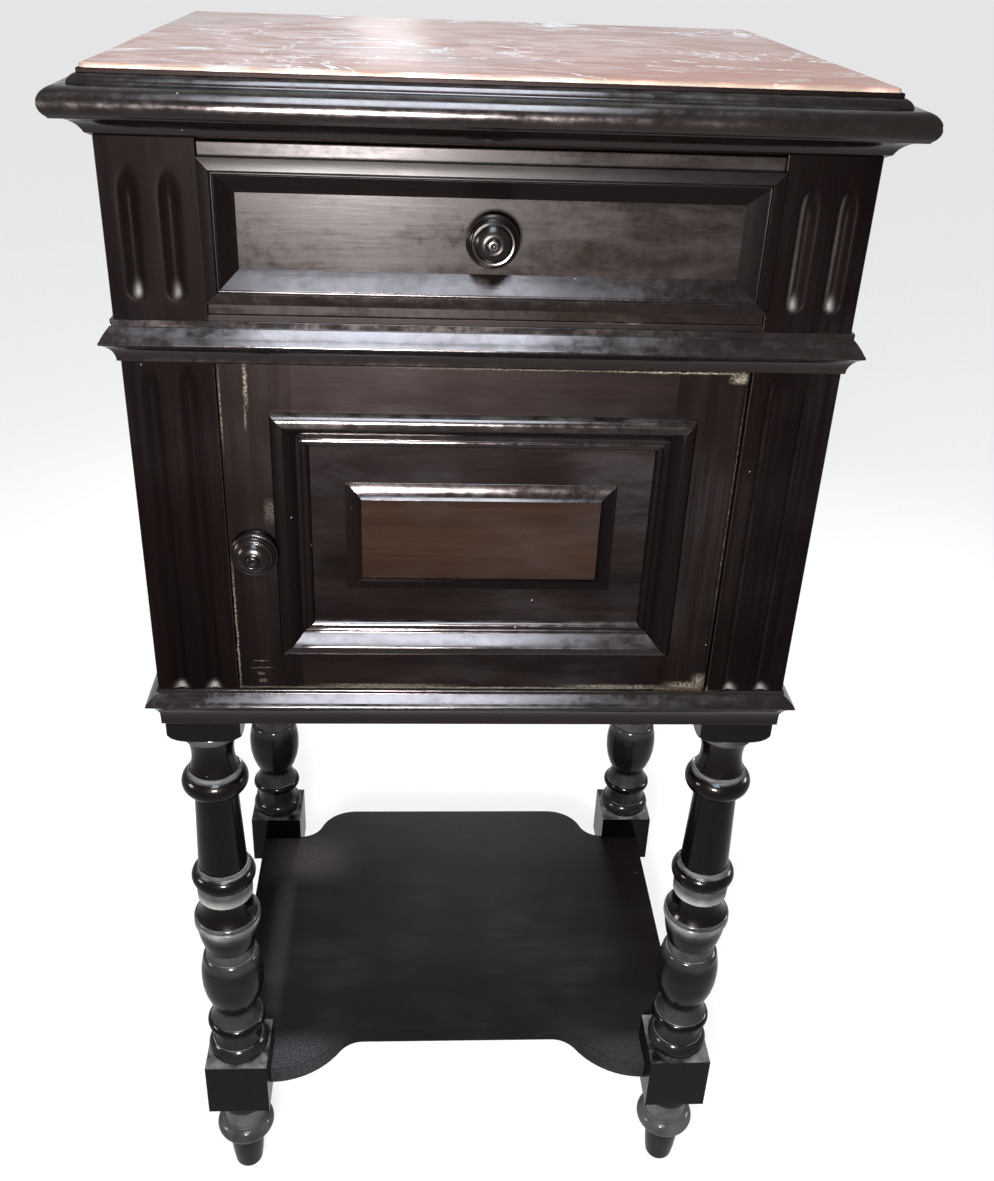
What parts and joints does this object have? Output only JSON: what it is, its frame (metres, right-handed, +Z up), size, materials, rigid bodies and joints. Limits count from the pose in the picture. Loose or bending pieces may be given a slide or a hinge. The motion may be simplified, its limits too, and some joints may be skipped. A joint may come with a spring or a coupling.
{
  "type": "bedside cabinet",
  "caption": "Tall ebonised wooden bedside cabinet with a marble top, a sliding drawer, a panelled cupboard door, fluted pilasters, turned legs and a low shaped shelf.",
  "frame": {"origin": "on the floor under the middle of the overall box", "axes": "+Z up, front with drawer and door towards -Y, +X to the right seen from the front"},
  "size_m": [0.4174, 0.3474, 0.8181],
  "materials": {
    "marble": "worn polish",
    "ebonised_wood": "satin polish with worn edges",
    "plain_wood": "bare",
    "brass": "aged",
    "steel": "dull"
  },
  "bodies": {
    "case": {"marble_top": "marble", "cornice_front": "ebonised_wood", "cornice_left": "ebonised_wood", "cornice_right": "ebonised_wood", "cornice_back_rail": "ebonised_wood", "waist_front": "ebonised_wood", "waist_left": "ebonised_wood", "waist_right": "ebonised_wood", "base_front": "ebonised_wood", "base_left": "ebonised_wood", "base_right": "ebonised_wood", "top_rail": "ebonised_wood", "top_board": "plain_wood", "back_panel": "plain_wood", "upper_left_pilaster": "ebonised_wood", "upper_right_pilaster": "ebonised_wood", "lower_left_pilaster": "ebonised_wood", "lower_right_pilaster": "ebonised_wood", "upper_left_side": "ebonised_wood", "upper_right_side": "ebonised_wood", "lower_left_side": "ebonised_wood", "lower_right_side": "ebonised_wood", "drawer_rail": "ebonised_wood", "drawer_divider": "plain_wood", "left_drawer_guide": "plain_wood", "right_drawer_guide": "plain_wood", "drawer_stops": "plain_wood", "door_head_rail": "ebonised_wood", "door_stop": "plain_wood", "lower_pivot": "brass", "upper_pivot": "brass", "cupboard_floor": "plain_wood", "leg_dowels": "plain_wood", "base_rail_front": "plain_wood", "base_rail_back": "plain_wood", "base_rail_left": "plain_wood", "base_rail_right": "plain_wood", "front_left_leg": "ebonised_wood", "front_right_leg": "ebonised_wood", "rear_left_leg": "ebonised_wood", "rear_right_leg": "ebonised_wood", "shelf": "ebonised_wood"},
    "drawer": {"drawer_front": "ebonised_wood", "drawer_left_side": "plain_wood", "drawer_right_side": "plain_wood", "drawer_back": "plain_wood", "drawer_bottom": "plain_wood", "drawer_moulding": "ebonised_wood", "drawer_knob": "ebonised_wood"},
    "door": {"door_left_stile": "ebonised_wood", "door_right_stile": "ebonised_wood", "door_bottom_rail": "ebonised_wood", "door_top_rail": "ebonised_wood", "door_panel": "ebonised_wood", "door_plates": "brass", "door_moulding": "ebonised_wood"},
    "door_latch": {"door_knob": "ebonised_wood", "knob_spindle": "steel", "door_catch": "steel"}
  },
  "joints": [
    {"name": "drawer_slide", "type": "slide", "parent": "case", "child": "drawer", "axis": [0, -1, 0], "range_m": [0, 0.2]},
    {"name": "door_pivot", "type": "hinge", "parent": "case", "child": "door", "pos_m": [0.1372, -0.14965, 0.4715], "axis": [0, 0, 1], "range_deg": [0, 95]},
    {"name": "knob_turn", "type": "hinge", "parent": "door", "child": "door_latch", "pos_m": [-0.1256, -0.15305, 0.568], "axis": [0, 1, 0], "range_deg": [0, 90]}
  ]
}
